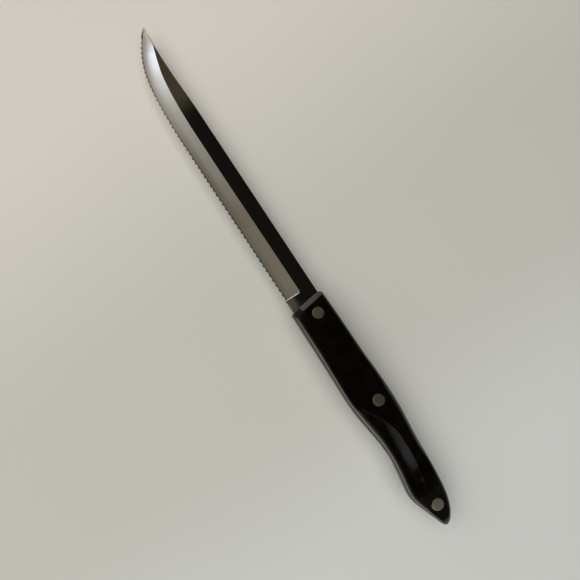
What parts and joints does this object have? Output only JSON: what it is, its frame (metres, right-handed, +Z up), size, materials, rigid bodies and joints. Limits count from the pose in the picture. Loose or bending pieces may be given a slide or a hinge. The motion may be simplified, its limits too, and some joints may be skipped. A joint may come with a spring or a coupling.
{
  "type": "carving knife",
  "caption": "Straight carving knife with a hollow-ground, fine-toothed steel blade on a full tang, riveted between glossy dark resin handle scales; lies on its side.",
  "frame": {"origin": "middle of the bounding box's underside, on the surface that the knife lies on", "axes": "+X towards the tip, +Y towards the cutting edge, +Z up out of the near scale"},
  "size_m": [0.3, 0.0216, 0.0162],
  "materials": {
    "blade_steel": "polished flats, satin hollow grind",
    "handle_resin": "glossy, near-black brown",
    "rivet_nickel": "nickel silver, ground flush"
  },
  "bodies": {
    "root": {"blade": "blade_steel", "near_scale": "handle_resin", "far_scale": "handle_resin", "front_rivet_post": "rivet_nickel", "front_rivet_socket": "rivet_nickel", "middle_rivet_post": "rivet_nickel", "middle_rivet_socket": "rivet_nickel", "butt_rivet_post": "rivet_nickel", "butt_rivet_socket": "rivet_nickel"}
  },
  "joints": []
}
